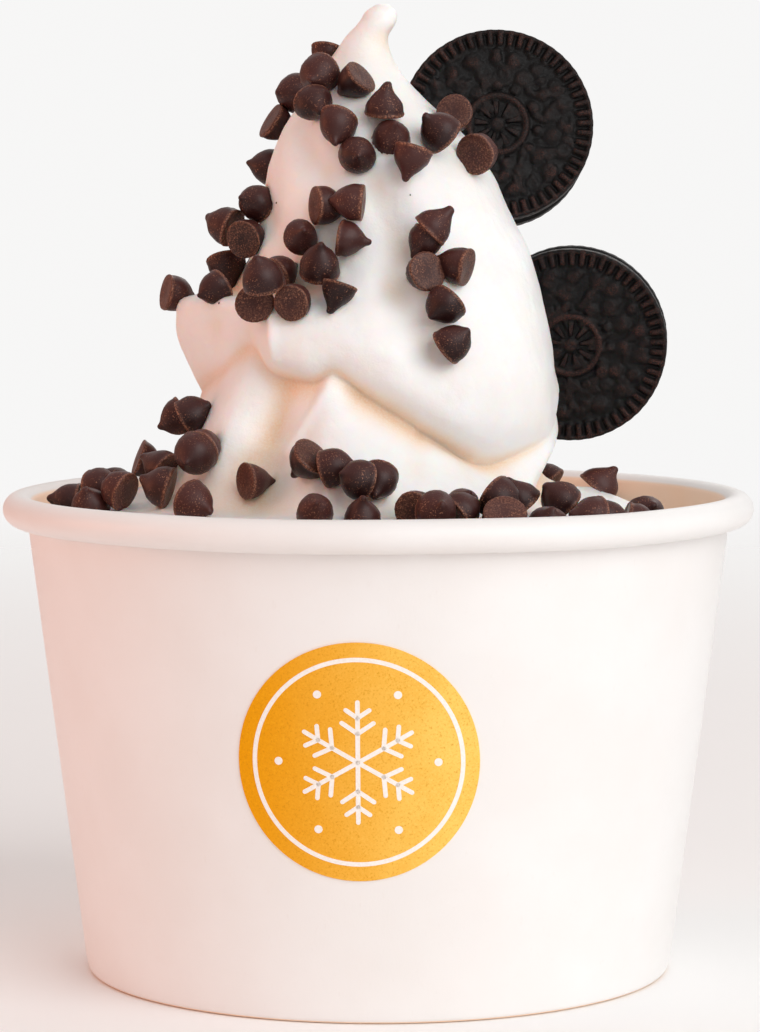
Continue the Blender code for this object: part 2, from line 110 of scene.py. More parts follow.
# the finishes: noise on object coordinates, in the colours and sizes of each one's own dictionary

def newMaterial(name, sockets):
    material = bpy.data.materials.new(name)
    material.use_nodes = True
    for socket, value in sockets.items():
        shaderOf(material).inputs[socket].default_value = value
    return material


def shaderOf(material):
    return material.node_tree.nodes["Principled BSDF"]


def addNode(material, kind, inputs=None, **settings):
    node = material.node_tree.nodes.new(kind)
    for setting, value in settings.items():
        setattr(node, setting, value)
    for socket, value in (inputs or {}).items():
        if isinstance(value, bpy.types.NodeSocket):
            material.node_tree.links.new(value, node.inputs[socket])
        else:
            node.inputs[socket].default_value = value
    return node


def layerOf(material, name):  # a value that the mesh carries at its points
    return addNode(material, "ShaderNodeAttribute", attribute_name=name).outputs["Fac"]


def objectPoints(material, stretch=(1, 1, 1)):
    points = addNode(material, "ShaderNodeTexCoord").outputs["Object"]
    return addNode(material, "ShaderNodeMapping", {"Vector": points, "Scale": stretch}).outputs["Vector"]


def noiseOf(material, points, size, detail=2.0, roughness=0.5):  # size is the width of a blotch
    made = addNode(material, "ShaderNodeTexNoise",
                   {"Vector": points, "Scale": 1 / size, "Detail": detail, "Roughness": roughness})
    return made.outputs["Fac"]


def spread(material, value, low, high, toLow=0.0, toHigh=1.0):  # eases a value into a range
    made = addNode(material, "ShaderNodeMapRange", {"Value": value, "From Min": low, "From Max": high,
                                                    "To Min": toLow, "To Max": toHigh},
                   interpolation_type="SMOOTHSTEP")
    return made.outputs["Result"]


def blend(material, factor, colourA, colourB, mode="MIX"):
    made = addNode(material, "ShaderNodeMix", data_type="RGBA", blend_type=mode)
    for socket, value in zip((made.inputs[0], made.inputs[6], made.inputs[7]), (factor, colourA, colourB)):
        if isinstance(value, bpy.types.NodeSocket):
            material.node_tree.links.new(value, socket)
        elif isinstance(value, tuple):
            socket.default_value = (*value, 1)
        else:
            socket.default_value = value
    return made.outputs[2]


def multiply(material, a, b):
    return addNode(material, "ShaderNodeMath", {0: a, 1: b}, operation="MULTIPLY").outputs[0]


def wire(material, socket, output):
    material.node_tree.links.new(output, shaderOf(material).inputs[socket])


def bumps(material, layers):  # layers are (height, depth in metres, strength)
    normal = None
    for height, depth, strength in layers:
        inputs = {"Height": height, "Distance": depth, "Strength": strength}
        if normal:
            inputs["Normal"] = normal
        normal = addNode(material, "ShaderNodeBump", inputs).outputs["Normal"]
    wire(material, "Normal", normal)


yogurtLook = {
    "white": (0.935, 0.925, 0.917),
    "shade": (0.91, 0.882, 0.860),
    "crease": (0.87, 0.60, 0.37),  # painted shade deep in a fold, warm like light bounced inside it
    "blotch": 9 * mm,
    "wave": 5 * mm,
    "ripple": 1.3 * mm,
    "grain": 0.28 * mm,
}


def makeYogurtMaterial():
    look = yogurtLook
    made = newMaterial("softServe", {
        "Roughness": 0.42, "Specular IOR Level": 0.35, "Subsurface Weight": 0.7,
        "Subsurface Radius": (1.0, 0.50, 0.36), "Subsurface Scale": 0.8 * mm,
        "Coat Weight": 0.12, "Coat Roughness": 0.3,
    })
    points = objectPoints(made)
    blotches = noiseOf(made, points, look["blotch"], 3)
    ripple = noiseOf(made, points, look["ripple"], 4, 0.55)
    grain = noiseOf(made, points, look["grain"], 2, 0.6)
    colour = blend(made, spread(made, blotches, 0.35, 0.7), look["white"], look["shade"])
    paintedShade = layerOf(made, "paintedShade")
    # painted shade: a warm, grainy tint deep in the folds and round things stuck in the yogurt
    grainyPaintedShade = multiply(made, paintedShade, spread(made, grain, 0.3, 0.7, 0.7, 1.0))
    colour = blend(made, grainyPaintedShade, colour, look["crease"])
    wire(made, "Base Color", colour)
    wire(made, "Roughness", spread(made, ripple, 0.3, 0.7, 0.36, 0.50))
    wave = noiseOf(made, points, look["wave"], 2)
    bumps(made, [(wave, 1.0 * mm, 0.28), (ripple, 0.30 * mm, 0.35), (grain, 0.08 * mm, 0.4)])
    return made


chocolateLook = {
    "dark": (0.014, 0.0042, 0.0044),
    # the lighter tone of some chips, also painted light on faces turned up
    "light": (0.088, 0.0260, 0.0215),
    "dust": (0.42, 0.18, 0.105),
    "dustSpot": 0.20 * mm,
    "patch": 2.4 * mm,
    "grain": 0.12 * mm,
}


def makeChocolateMaterial():
    look = chocolateLook
    made = newMaterial("darkChocolate", {"Roughness": 0.4, "Specular IOR Level": 0.28})
    points = objectPoints(made)
    patches = noiseOf(made, points, look["patch"], 3)
    spots = noiseOf(made, points, look["dustSpot"], 3, 0.6)
    grain = noiseOf(made, points, look["grain"], 2)
    tone = layerOf(made, "tone")
    edge = layerOf(made, "edge")
    colour = blend(made, multiply(made, tone, 0.6), look["dark"], look["light"])
    facing = addNode(made, "ShaderNodeNewGeometry").outputs["Normal"]
    upward = addNode(made, "ShaderNodeSeparateXYZ", {"Vector": facing}).outputs["Z"]
    # painted light: faces turned up are lighter, faces turned down darker
    colour = blend(made, multiply(made, spread(made, upward, -0.3, 0.9), 0.55), colour, look["light"])
    dusting = multiply(made, spread(made, spots, 0.57, 0.70), spread(made, patches, 0.40, 0.64, 0.08, 0.9))
    colour = blend(made, dusting, colour, look["dust"])
    rimDustAndHighlight = multiply(made, edge, spread(made, spots, 0.42, 0.62, 0.1, 0.75))  # paler round the base: dust, and a painted highlight on the rim
    colour = blend(made, rimDustAndHighlight, colour, look["dust"])
    wire(made, "Base Color", colour)
    wire(made, "Roughness", spread(made, patches, 0.3, 0.7, 0.34, 0.52))
    bumps(made, [(spots, 0.05 * mm, 0.5), (grain, 0.02 * mm, 0.4)])
    return made


waferLook = {
    "dark": (0.0010, 0.0007, 0.0008),
    "baked": (0.0065, 0.0031, 0.0026),
    "raised": (0.072, 0.0215, 0.0135),
    "crumb": 0.5 * mm,
    "grain": 0.16 * mm,
    "patch": 4 * mm,
}


def makeWaferMaterial():
    look = waferLook
    made = newMaterial("cocoaWafer", {"Roughness": 0.5, "Specular IOR Level": 0.22})
    points = objectPoints(made)
    crumb = noiseOf(made, points, look["crumb"], 4, 0.65)
    grain = noiseOf(made, points, look["grain"], 2)
    patches = noiseOf(made, points, look["patch"], 2)
    relief = layerOf(made, "relief")
    # baked mottle with painted shade: near black down in the stamped pattern
    bakedMottleAndLowShade = multiply(made, spread(made, crumb, 0.35, 0.7), spread(made, relief, 0.0, 0.6, 0.2, 1.0))
    colour = blend(made, bakedMottleAndLowShade, look["dark"], look["baked"])
    # painted highlight: reddish tops on the raised pattern, in patches
    paintedTopHighlight = multiply(made, spread(made, relief, 0.45, 1.0), spread(made, grain, 0.38, 0.68))
    paintedTopHighlight = multiply(made, paintedTopHighlight, spread(made, patches, 0.3, 0.7, 0.3, 0.9))
    colour = blend(made, paintedTopHighlight, colour, look["raised"])
    wire(made, "Base Color", colour)
    wire(made, "Roughness", spread(made, crumb, 0.3, 0.7, 0.40, 0.66))
    bumps(made, [(crumb, 0.22 * mm, 0.7), (grain, 0.05 * mm, 0.5)])
    return made


creamLook = {
    "cream": (0.90, 0.86, 0.78),
    "shade": (0.84, 0.79, 0.69),
    "crumb": (0.10, 0.06, 0.045),
    "smear": 2.2 * mm,
    "speck": 0.45 * mm,
}


def makeCreamMaterial():
    look = creamLook
    made = newMaterial("vanillaCream", {"Roughness": 0.55, "Subsurface Weight": 0.15,
                                        "Subsurface Radius": (1.0, 0.7, 0.45), "Subsurface Scale": 0.8 * mm})
    points = objectPoints(made)
    smear = noiseOf(made, points, look["smear"], 3)
    specks = noiseOf(made, points, look["speck"], 1)
    colour = blend(made, spread(made, smear, 0.35, 0.7), look["cream"], look["shade"])
    colour = blend(made, spread(made, specks, 0.70, 0.76), colour, look["crumb"])
    wire(made, "Base Color", colour)
    bumps(made, [(smear, 0.15 * mm, 0.5), (specks, 0.04 * mm, 0.4)])
    return made


paperLook = {
    "board": (0.895, 0.876, 0.862),
    "shade": (0.870, 0.842, 0.822),
    "fleck": (0.80, 0.75, 0.71),
    "inside": (1.0, 0.72, 0.52),  # painted warm reflection on the inner wall
    "cloud": 16 * mm,
    "fibre": 0.55 * mm,
    "fibreStretch": (1, 1, 0.35),
    "grain": 0.22 * mm,
}


def makePaperMaterial():
    look = paperLook
    made = newMaterial("coatedPaper", {"Roughness": 0.42, "Specular IOR Level": 0.42, "Sheen Weight": 0.06,
                                       "Sheen Roughness": 0.5})
    points = objectPoints(made)
    clouds = noiseOf(made, points, look["cloud"], 3)
    fibres = noiseOf(made, objectPoints(made, look["fibreStretch"]), look["fibre"], 4, 0.65)
    grain = noiseOf(made, points, look["grain"], 2)
    colour = blend(made, spread(made, clouds, 0.3, 0.7), look["board"], look["shade"])
    colour = blend(made, multiply(made, spread(made, fibres, 0.62, 0.75), 0.25), colour, look["fleck"])
    # painted reflection: the inner wall is tinted warm peach
    inside = layerOf(made, "inside")
    reflectionShare = multiply(made, inside, spread(made, clouds, 0.2, 0.8, 0.85, 1.0))
    colour = blend(made, reflectionShare, colour, look["inside"])
    wire(made, "Base Color", colour)
    wire(made, "Roughness", spread(made, fibres, 0.3, 0.7, 0.36, 0.48))
    bumps(made, [(clouds, 0.25 * mm, 0.12), (fibres, 0.035 * mm, 0.4), (grain, 0.015 * mm, 0.35)])
    return made


labelLook = {
    "orange": (0.86, 0.35, 0.003),
    "yellow": (1.0, 0.64, 0.14),
    "speckDark": (0.68, 0.26, 0.004),
    "speckWarm": (0.95, 0.45, 0.008),
    "speckLight": (1.0, 0.70, 0.20),
    "speck": 0.26 * mm,
    "patch": 5 * mm,
    "across": (-0.017, 0.014),  # painted light: from orange on the left to lighter yellow on the right, where the light falls
}


def makeLabelMaterial():
    look = labelLook
    made = newMaterial("printedLabel", {"Roughness": 0.6, "Specular IOR Level": 0.06})
    points = objectPoints(made)
    specks = noiseOf(made, points, look["speck"], 2, 0.7)
    patches = noiseOf(made, points, look["patch"], 3)
    across = addNode(made, "ShaderNodeSeparateXYZ", {"Vector": points}).outputs["X"]
    # painted light: the right side is lighter and yellower, the specks too
    share = spread(made, across, *look["across"])
    colour = blend(made, share, look["orange"], look["yellow"])
    colour = blend(made, multiply(made, spread(made, patches, 0.35, 0.7), 0.25), colour, look["orange"])
    light = blend(made, share, look["speckWarm"], look["speckLight"])
    colour = blend(made, multiply(made, spread(made, specks, 0.46, 0.30), 0.55), colour, look["speckDark"])
    colour = blend(made, multiply(made, spread(made, specks, 0.54, 0.70), 0.55), colour, light)
    wire(made, "Base Color", colour)
    wire(made, "Roughness", spread(made, specks, 0.3, 0.7, 0.44, 0.58))
    bumps(made, [(specks, 0.012 * mm, 0.5)])
    return made


inkLook = {"thin": (0.93, 0.87, 0.80), "full": (0.97, 0.93, 0.89), "speck": 0.3 * mm}


def makeInkMaterial():
    look = inkLook
    made = newMaterial("paleInk", {"Roughness": 0.5})
    specks = noiseOf(made, objectPoints(made), look["speck"], 2)
    wire(made, "Base Color", blend(made, spread(made, specks, 0.3, 0.7), look["thin"], look["full"]))
    bumps(made, [(specks, 0.01 * mm, 0.4)])
    return made


floorLook = {
    "pale": (0.93, 0.925, 0.92), "paler": (0.95, 0.945, 0.94), "cloud": 60 * mm,
    "fade": (0.15, 0.85),  # it fades into the backdrop between these distances, in metres
}


def makeFloorMaterial():
    look = floorLook
    made = newMaterial("paleFloor", {"Roughness": 0.7, "Specular IOR Level": 0.2})
    points = objectPoints(made)
    clouds = noiseOf(made, points, look["cloud"], 2)
    wire(made, "Base Color", blend(made, clouds, look["pale"], look["paler"]))
    away = addNode(made, "ShaderNodeVectorMath", {0: points}, operation="LENGTH").outputs["Value"]
    wire(made, "Alpha", spread(made, away, *look["fade"], 1.0, 0.0))
    return made


paper, labelPaper, paleInk = makePaperMaterial(), makeLabelMaterial(), makeInkMaterial()
softServe, chocolate = makeYogurtMaterial(), makeChocolateMaterial()
cocoa, cream = makeWaferMaterial(), makeCreamMaterial()
print("materials made")


tub = {
    "rimRadius": 48.48 * mm, "height": 62.0 * mm, "rollRadius": 2.05 * mm,
    "footRadius": 37.9 * mm, "topRadius": 45.25 * mm,
    "paper": 0.5 * mm, "fold": 1.6 * mm, "foldCorner": 0.9 * mm,
    "skirt": 5.5 * mm, "baseLevel": 4.6 * mm, "segments": 288,
    "innerTop": 56 * mm, "outerTop": 56.6 * mm,  # where the wall's two sides meet the roll
    "seamAzimuth": 168, "seamWidth": 7 * mm, "seamStep": 0.22 * mm, "seamTop": 57 * mm,
    "waver": ((0.12, 1.7), (0.06, 2.3)),  # of the rim, down and inwards: mm, and how often round
    "flangeEnd": 1.0 * mm, "flangeCorner": 0.5 * mm, "slack": 0.02 * mm, "baseSegments": 144,
}


def wallRadius(z):
    widening = tub["topRadius"] - tub["footRadius"]
    return tub["footRadius"] + widening * z / (tub["height"] - 2 * tub["rollRadius"])


def tubOutline():  # down the inside, round the folded foot, up the outside and round the rolled rim
    foot, roll, skirt = tub["footRadius"], tub["rollRadius"], tub["skirt"]
    fold, corner = tub["fold"], tub["foldCorner"]
    heights = np.linspace(tub["innerTop"], skirt + tub["paper"], 24)
    outline = [(wallRadius(z) - tub["paper"], z) for z in heights]
    outline += [
        (wallRadius(skirt) - fold + 0.15 * mm, skirt + 0.3 * mm),
        (wallRadius(skirt) - fold, skirt - 0.2 * mm),
        (wallRadius(2.5 * mm) - fold, 2.5 * mm),
        (foot - fold + 0.02 * mm, 0.25 * mm),
        (foot - fold + 0.3 * mm, 0),
    ]
    outline += arcPoints(foot - corner, corner, corner, -90, -7, 6)
    outline += [(wallRadius(z), z) for z in np.linspace(2 * mm, tub["outerTop"], 26)]
    return outline + arcPoints(tub["rimRadius"] - roll, tub["height"] - roll, roll, -128, 158, 26)


def makeCupWall():
    bm = spinOutline(tubOutline(), tub["segments"], closed=True)
    inside = bm.verts.layers.float.new("inside")
    (dip, dipOften), (sway, swayOften) = tub["waver"]
    for vert in bm.verts:  # the lap of the side seam, and the slight waver of board rolled by machine
        azimuth = math.degrees(math.atan2(vert.co.x, -vert.co.y))
        away, radius, z = outward(azimuth), flat(vert.co).length, vert.co.z
        # marks the inner wall, where a warm reflection is painted
        vert[inside] = radius < wallRadius(z) - 0.3 * mm and z < tub["height"] - 0.8 * mm
        outside = radius > wallRadius(z) - 0.1 * mm and z > 0.5 * mm
        lap = ((azimuth - tub["seamAzimuth"]) % 360) * math.radians(1) * radius
        if outside and z < tub["seamTop"] and lap < tub["seamWidth"]:
            step = tub["seamStep"] * min(1, lap / (0.5 * mm))
            vert.co += away * step
        if z > tub["innerTop"]:
            vert.co.z -= dip * mm * (0.5 + noise.noise(away * dipOften))
            vert.co -= away * sway * mm * (0.5 + noise.noise(away * swayOften + Vector((3, 1, 7))))
    wall = addPiece("cupWall", bm, paper, 55)
    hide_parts("cup_wall")
    return wall


def makeCupBase():  # a disc with a flange that hangs down inside the folded foot
    level, end, corner = tub["baseLevel"], tub["flangeEnd"], tub["flangeCorner"]
    top, shares = level + tub["paper"], (0.3, 0.6, 0.9)

    def reach(z):
        return wallRadius(z) - tub["fold"] - tub["slack"]

    outline = [(0, top)] + [(reach(top) * share, top) for share in shares]
    outline += [
        (reach(top) - corner, top), (reach(top), top - corner),
        (reach(end), end), (reach(end) - tub["paper"], end),
        (reach(level) - tub["paper"], level - corner), (reach(level) - tub["paper"] - corner, level),
    ]
    outline += [(reach(top) * share, level) for share in reversed(shares)] + [(0, level)]
    base = addPiece("cupBase", spinOutline(outline, tub["baseSegments"]), paper, 50)
    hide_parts("cup_base")


cupWall = makeCupWall()
makeCupBase()
print("paper tub made")


label = {
    "radius": 14.7 * mm, "height": 32.6 * mm, "azimuth": -3.3, "thickness": 0.15 * mm, "segments": 120,
    "standOff": 0.01 * mm, "ringRadius": 12.6 * mm, "line": 0.55 * mm, "inkThickness": 0.03 * mm,
    "arms": 6, "armLength": 7.4 * mm, "branchWay": (0.82, 0.57),
    "branches": ((0.48, 2.3 * mm), (0.74, 1.7 * mm)),  # share of the arm, length
    "dotRadius": 0.5 * mm, "dotRing": 9.6 * mm,
}


def wrapOnWall(bm, lift):  # bends flat artwork, x to the right and y up, round the tub
    slope = math.atan2(wallRadius(tub["height"]) - wallRadius(0), tub["height"])
    for vert in bm.verts:
        z = label["height"] + vert.co.y * math.cos(slope)
        azimuth = label["azimuth"] + math.degrees(vert.co.x / wallRadius(z))
        vert.co = outward(azimuth) * (wallRadius(z) + lift + vert.co.z) + Vector((0, 0, z))
    bmesh.ops.recalc_face_normals(bm, faces=bm.faces)


def thicken(bm, thickness):
    made = bmesh.ops.extrude_face_region(bm, geom=bm.faces[:])
    moved = [item for item in made["geom"] if isinstance(item, bmesh.types.BMVert)]
    bmesh.ops.translate(bm, verts=moved, vec=(0, 0, thickness))
    bmesh.ops.recalc_face_normals(bm, faces=bm.faces)


def discOf(radius, rings, segments):
    bm = bmesh.new()
    verts = [bm.verts.new((radius * i / rings, 0, 0)) for i in range(rings + 1)]
    edges = [bm.edges.new(pair) for pair in zip(verts, verts[1:])]
    turnRound(bm, verts + edges, segments)
    bmesh.ops.remove_doubles(bm, verts=bm.verts, dist=weld)
    return bm


def ringOf(radius, width, segments):
    bm = bmesh.new()
    ends = [bm.verts.new((radius + side * width / 2, 0, 0)) for side in (-1, 1)]
    turnRound(bm, ends + [bm.edges.new(ends)], segments)
    return bm


def dotOf(centre, radius, segments):
    bm = bmesh.new()
    bmesh.ops.create_circle(bm, cap_ends=True, segments=segments, radius=radius)
    bmesh.ops.translate(bm, verts=bm.verts, vec=(centre.x, centre.y, 0))
    return bm


def barOf(start, end, width):  # a stroke with round ends
    bm = bmesh.new()
    along = end - start
    bmesh.ops.create_grid(bm, x_segments=max(2, int(along.length / (0.8 * mm))), y_segments=1, size=0.5)
    reach = max(vert.co.x for vert in bm.verts)
    for vert in bm.verts:
        share = (vert.co.x / reach + 1) / 2
        side = Vector((-along.y, along.x)).normalized() * (vert.co.y / reach * width / 2)
        vert.co = (*(start + along * share + side), 0)
    for centre in (start, end):
        joinInto(bm, dotOf(centre, width / 2, 12))
    return bm


def makeLabel():
    disc = discOf(label["radius"], 12, label["segments"])
    thicken(disc, label["thickness"])
    wrapOnWall(disc, label["standOff"])
    piece = addPiece("roundLabel", disc, labelPaper, 50)
    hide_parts("label")

    ink = ringOf(label["ringRadius"], label["line"], label["segments"])
    apart, (aside, along) = 360 / label["arms"], label["branchWay"]
    for arm in range(label["arms"]):  # a plain flake, with a dot between each two arms
        turn = Matrix.Rotation(math.radians(apart * arm), 2)
        strokes = [(Vector((0, 0)), Vector((0, label["armLength"])))]
        for share, branch in label["branches"]:
            root = Vector((0, label["armLength"] * share))
            for side in (-1, 1):
                strokes.append((root, root + Vector((side * aside, along)) * branch))
        for start, end in strokes:
            joinInto(ink, barOf(turn @ start, turn @ end, label["line"]))
        between = Matrix.Rotation(math.radians(apart * (arm + 0.5)), 2)
        joinInto(ink, dotOf(between @ Vector((0, label["dotRing"])), label["dotRadius"], 16))
    thicken(ink, label["inkThickness"])
    wrapOnWall(ink, label["standOff"] + label["thickness"])
    addPiece("labelFlake", ink, paleInk, 50)


makeLabel()
print("label made")


# the soft-serve swirl is a skin over guide loops that run once round it, up to the tip
swirl = {
    "columns": 384,
    "rowHeight": 0.5,  # mm between rows, along the skin
    "loops": (  # stations (azimuth, radius, height) in degrees and mm
        ((-90, 43.8, 56.8), (0, 43.8, 57.4), (90, 43.8, 55.6), (180, 43.8, 56.4)),
        ((-90, 36.5, 60.3), (-50, 38.5, 59.8), (-10, 40.0, 60.2), (20, 39.5, 59.6), (50, 34.0, 60.2),
         (85, 31.0, 61.0), (115, 32.0, 60.8), (180, 37.0, 59.8), (235, 37.0, 59.5)),
        ((-90, 29.0, 63.3), (-60, 31.0, 62.6), (-42, 32.2, 61.9), (-30, 31.2, 61.6), (-10, 35.0, 62.3),
         (15, 33.6, 61.4), (40, 28.6, 61.4), (62, 22.6, 63.0), (85, 20.6, 65.2), (110, 22.2, 64.2),
         (180, 28.0, 62.3)),
        ((-90, 24.6, 69.0), (-62, 26.0, 70.0), (-44, 27.0, 72.0), (-31, 25.0, 69.0), (-13, 29.0, 69.0),
         (12, 29.0, 65.5), (40, 25.6, 63.4), (60, 23.6, 66.0), (85, 23.2, 69.6), (110, 23.6, 69.5),
         (150, 25.0, 67.5), (210, 26.0, 67.0)),
        ((-90, 22.8, 74.8), (-64, 22.2, 77.4), (-46, 22.6, 80.6), (-34, 22.4, 77.4), (-21, 22.2, 76.8),
         (-14, 22.8, 77.8), (-4, 22.6, 75.2), (8, 22.2, 72.4), (20, 21.0, 69.6), (40, 20.4, 66.3),
         (56, 21.6, 67.6), (77, 22.8, 69.9), (92, 22.8, 72.8), (135, 22.0, 74.0), (210, 22.0, 74.5)),
        ((-90, 24.4, 78.2), (-64, 22.6, 79.6), (-46, 23.0, 82.0), (-36, 24.0, 80.0), (-30, 24.7, 79.2),
         (-22, 24.3, 78.4), (-14, 24.0, 79.2), (-4, 24.2, 77.6), (8, 24.6, 75.0), (20, 24.8, 72.2),
         (40, 23.8, 69.0), (56, 23.3, 69.8), (77, 23.2, 71.8), (92, 23.4, 75.0), (135, 23.4, 76.4),
         (210, 23.6, 77.0)),
        ((-90, 26.1, 83.0), (-62, 22.9, 84.0), (-46, 23.4, 84.5), (-31, 25.7, 83.0), (-25, 25.2, 82.4),
         (-12, 24.4, 82.0), (10, 25.0, 78.5), (30, 25.2, 75.5), (55, 24.3, 74.5), (85, 22.9, 76.5),
         (135, 24.0, 80.5), (210, 24.6, 82.5)),
        ((-90, 25.8, 86.0), (-62, 23.4, 86.2), (-44, 23.2, 86.1), (-31, 24.4, 85.9), (-22, 23.7, 85.6),
         (0, 22.9, 85.0), (40, 22.6, 84.0), (90, 22.1, 82.5), (150, 22.6, 86.0), (220, 23.4, 87.5)),
        ((-90, 18.2, 88.4), (-60, 18.0, 88.0), (-32, 19.0, 88.0), (0, 20.6, 89.0), (40, 21.0, 88.6),
         (90, 20.8, 88.0), (150, 20.2, 90.5), (220, 18.6, 91.5)),
    ),
    "crease": 4,  # the loop along which the skin folds sharply
    "cone": ((17.7, 93.2, 1.6), (15.8, 98.6, 0.8), (14.5, 102.8, 0.2), (11.8, 107.9, -0.8),
             (8.3, 111.9, -1.8), (6.2, 114.5, -2.2), (4.1, 117.4, -2.1), (2.7, 120.4, -1.4),
             (2.35, 122.3, -0.1), (1.95, 123.5, 0.3), (1.0, 124.3, 0.5)),  # radius, height, lean towards +X
    "tip": 124.48,
    "strokes": (  # soft dents: azimuth and height of both ends, half width, depth
        (-3, 101.0, 6, 88.5, 2.6, 0.8), (6, 88.5, 14, 81.0, 2.8, 0.7), (10, 67.0, 25, 65.4, 1.8, 0.6),
        (15, 101.0, 22, 89.0, 3.0, -0.7), (22, 89.0, 30, 81.0, 3.2, -0.6),
        (-46, 107.0, -30, 103.0, 2.4, 0.8), (-70, 98.0, -52, 94.0, 2.2, 0.6),
        (150, 104.0, 210, 96.0, 3.0, 0.9),
        (-31, 79.5, -31, 86.8, 0.7, -0.55), (-47, 79.8, -38, 86.5, 3.4, 0.7),  # a crisp arris, its hollow
        (-7, 75.2, 12, 69.8, 1.5, 1.25), (14, 70.3, 31, 67.4, 0.7, 0.55),  # the band under the coil, its slit
        (-15, 77.0, -25, 68.5, 0.9, -0.7), (-31, 76.0, -38, 66.5, 2.2, 0.9),  # left edge of the wedge below
    ),
    "dome": (15, 30, 45, 60, 75, 90),  # degrees up the small dome that closes the tip
    "folds": ((4, 0.35), (9, 1.4)),  # rows looked across, and the mm sunk that count as deep
    "uneven": ((0.16, 0.23), (0.05, 0.9)),  # mm, and how often in a mm
    "clear": 0.4 * mm,  # between the yogurt and the tub
}


def hermite(start, end, startTangent, endTangent, t):
    return ((1 + 2 * t) * (1 - t) ** 2 * start + t * (1 - t) ** 2 * startTangent
            + t ** 2 * (3 - 2 * t) * end + t ** 2 * (t - 1) * endTangent)


def loopAt(stations, azimuths):  # eases radius and height from station to station, never past them
    table = sorted((azimuth % 360, radius, height) for azimuth, radius, height in stations)
    table = np.array([(a + turn, r, z) for turn in (-360, 0, 360) for a, r, z in table])
    x, rows = table[:, 0], table[:, 1:]
    slopes = np.diff(rows, axis=0) / np.diff(x)[:, None]
    before, after = slopes[:-1], slopes[1:]
    sameWay = before * after > 0
    harmonic = 2 * before * after / np.where(sameWay, before + after, 1.0)
    tangents = np.vstack([slopes[:1], np.where(sameWay, harmonic, 0.0), slopes[-1:]])
    i = np.searchsorted(x, azimuths, side="right") - 1
    width = (x[i + 1] - x[i])[:, None]
    t = (azimuths - x[i])[:, None] / width
    return hermite(rows[i], rows[i + 1], tangents[i] * width, tangents[i + 1] * width, t)


def swirlAzimuths():
    return np.arange(swirl["columns"]) * 360.0 / swirl["columns"]


def ringOfPoints(azimuths, radius, height, lean=0.0):
    turn = np.radians(azimuths)
    return np.column_stack([lean + radius * np.sin(turn), -radius * np.cos(turn), np.full(len(turn), height)])


def swirlSkin():  # points of the skin, (row, column, xyz) in mm
    azimuths = swirlAzimuths()
    upright = np.zeros(len(azimuths))
    loops = [np.column_stack([loopAt(stations, azimuths), upright]) for stations in swirl["loops"]]
    loops += [np.tile(circle, (len(azimuths), 1)) for circle in swirl["cone"]]
    loops = np.array(loops, float)
    span = np.linalg.norm(np.diff(loops, axis=0), axis=2)[..., None]
    slope = np.diff(loops, axis=0) / span
    tangentIn, tangentOut = np.concatenate([slope[:1], slope]), np.concatenate([slope, slope[-1:]])
    for i in range(1, len(loops) - 1):
        if i != swirl["crease"]:
            both = (slope[i - 1] * span[i] + slope[i] * span[i - 1]) / (span[i] + span[i - 1])
            tangentIn[i] = tangentOut[i] = both
    rows = []
    for i in range(len(loops) - 1):
        steps = max(4, round(span[i].mean() / swirl["rowHeight"]))
        for step in range(steps):
            rows.append(hermite(loops[i], loops[i + 1], tangentOut[i] * span[i], tangentIn[i + 1] * span[i],
                                step / steps))
    radius, height, lean = np.moveaxis(np.array(rows + [loops[-1]]), 2, 0)
    for azimuth1, height1, azimuth2, height2, width, pressed in swirl["strokes"]:
        middle = (azimuth1 + azimuth2) / 2
        x = np.radians((azimuths - middle + 180) % 360 - 180) * radius
        half = np.radians((azimuth2 - azimuth1) / 2) * radius
        y, rise = height - (height1 + height2) / 2, (height2 - height1) / 2
        along = np.clip((x * half + y * rise) / (half ** 2 + rise ** 2), -1, 1)
        radius = radius - pressed * np.exp(-((x - along * half) ** 2 + (y - along * rise) ** 2) / width ** 2)
    turn = np.radians(azimuths)
    skin = np.stack([lean + radius * np.sin(turn), -radius * np.cos(turn), height], axis=2)
    return roundTheTip(skin, azimuths)


def roundTheTip(skin, azimuths):
    radius, top, lean = swirl["cone"][-1]
    rise = swirl["tip"] - top
    dome = [ringOfPoints(azimuths, radius * math.cos(angle), top + rise * math.sin(angle), lean)
            for angle in np.radians(swirl["dome"])]
    return np.concatenate([skin, np.array(dome)])


def neighbourhood(field, reach):  # average of a field over a patch, round Z and up and down
    total = np.zeros_like(field)
    for shift in range(-reach, reach + 1):
        total += np.roll(field, shift, axis=1)
    field, total = total / (2 * reach + 1), np.zeros_like(field)
    padded = np.pad(field, ((reach, reach), (0, 0), (0, 0)), mode="edge")
    for shift in range(2 * reach + 1):
        total += padded[shift:shift + len(field)]
    return total / (2 * reach + 1)


def hollowness(skin):  # 0 on open skin, up to 1 deep in a fold
    across = np.roll(skin, -1, axis=1) - np.roll(skin, 1, axis=1)
    up = np.gradient(skin, axis=0)
    normal = np.cross(across, up)
    normal /= np.linalg.norm(normal, axis=2, keepdims=True) + 1e-9
    found = np.zeros(skin.shape[:2])
    for reach, full in swirl["folds"]:
        sunk = ((neighbourhood(skin, reach) - skin) * normal).sum(axis=2)
        found = np.maximum(found, np.clip(sunk / full, 0, 1))
    return neighbourhood(found[..., None], 2)[..., 0]


